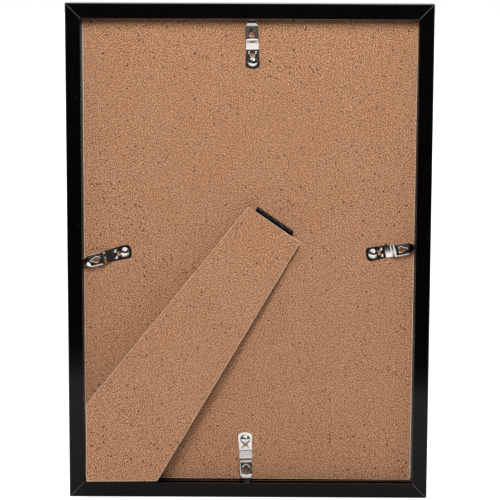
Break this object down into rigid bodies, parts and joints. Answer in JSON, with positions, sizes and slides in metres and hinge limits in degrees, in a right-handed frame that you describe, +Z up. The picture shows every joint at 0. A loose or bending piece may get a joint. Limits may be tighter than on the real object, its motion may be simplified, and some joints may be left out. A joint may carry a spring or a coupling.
{
  "type": "easel back photo frame",
  "caption": "Picture frame in slim black moulding with a glass pane, a hardboard back held by riveted turn clips, and a slanted hardboard easel strut on a hinge.",
  "frame": {"origin": "middle of the frame's bottom edge, halfway through the moulding's depth", "axes": "+X to the right as the back is seen, +Y towards the glass front, +Z up the frame's long side"},
  "size_m": [0.231, 0.0357, 0.318],
  "materials": {
    "black_moulding": "satin gloss",
    "pane": "clear",
    "card": "matt",
    "hardboard": "matt pressed fibre",
    "plated_steel": "bright nickel",
    "hinge_black": "black gloss"
  },
  "bodies": {
    "frame": {"bottom_rail": "black_moulding", "top_rail": "black_moulding", "left_rail": "black_moulding", "right_rail": "black_moulding", "glazing_pane": "pane", "insert_sheet": "card", "back_board": "hardboard", "clip_rivet_top": "plated_steel", "clip_rivet_left": "plated_steel", "clip_rivet_bottom": "plated_steel", "clip_rivet_right": "plated_steel", "hinge_board_leaf": "hinge_black", "board_leaf_tacks": "hinge_black", "hinge_pin": "hinge_black"},
    "strut": {"easel_strut": "hardboard", "hinge_strut_leaf": "hinge_black", "strut_leaf_tacks": "hinge_black"},
    "clip_top": {"turn_clip_top": "plated_steel"},
    "clip_left": {"turn_clip_left": "plated_steel"},
    "clip_bottom": {"turn_clip_bottom": "plated_steel"},
    "clip_right": {"turn_clip_right": "plated_steel"}
  },
  "joints": [
    {"name": "strut_hinge", "type": "hinge", "parent": "frame", "child": "strut", "pos_m": [0.01632, -0.0008, 0.17986], "axis": [-0.8207, 0, 0.5714], "range_deg": [-6, 24]},
    {"name": "clip_top_turn", "type": "hinge", "parent": "frame", "child": "clip_top", "pos_m": [0.00192, -0.0001, 0.2813], "axis": [0, -1, 0], "continuous": true},
    {"name": "clip_left_turn", "type": "hinge", "parent": "frame", "child": "clip_left", "pos_m": [-0.07965, -0.0001, 0.15911], "axis": [0, -1, 0], "continuous": true},
    {"name": "clip_bottom_turn", "type": "hinge", "parent": "frame", "child": "clip_bottom", "pos_m": [-0.00207, -0.0001, 0.03635], "axis": [0, -1, 0], "continuous": true},
    {"name": "clip_right_turn", "type": "hinge", "parent": "frame", "child": "clip_right", "pos_m": [0.07935, -0.0001, 0.15879], "axis": [0, -1, 0], "continuous": true}
  ]
}
